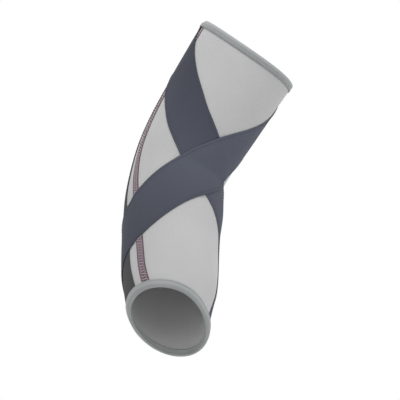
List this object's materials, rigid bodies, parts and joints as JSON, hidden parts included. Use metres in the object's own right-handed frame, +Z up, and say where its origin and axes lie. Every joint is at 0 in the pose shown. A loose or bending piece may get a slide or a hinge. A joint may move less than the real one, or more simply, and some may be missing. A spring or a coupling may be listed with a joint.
{
  "type": "elbow brace",
  "caption": "Elastic elbow brace in its worn bend: light grey tube, dark back panel, two crossing slate bands and bound rims.",
  "frame": {"origin": "middle of the elbow, inside the tube, where the upper and the lower leg of the tube meet", "axes": "+Z up along the tube's longest extent, +X to the right in the picture, the viewer of the picture looks along +Y"},
  "size_m": [0.1555, 0.1646, 0.2982],
  "materials": {
    "sleeve": "light grey fine elastic knit",
    "back_panel": "dark grey elastic knit",
    "under_band": "slate blue woven elastic",
    "over_band": "slate blue woven elastic",
    "upper_binding": "grey folded tape",
    "lower_binding": "grey folded tape"
  },
  "bodies": {
    "root": {"sleeve": "sleeve", "back_panel": "back_panel", "under_band": "under_band", "over_band": "over_band", "upper_binding": "upper_binding", "lower_binding": "lower_binding"}
  },
  "joints": []
}
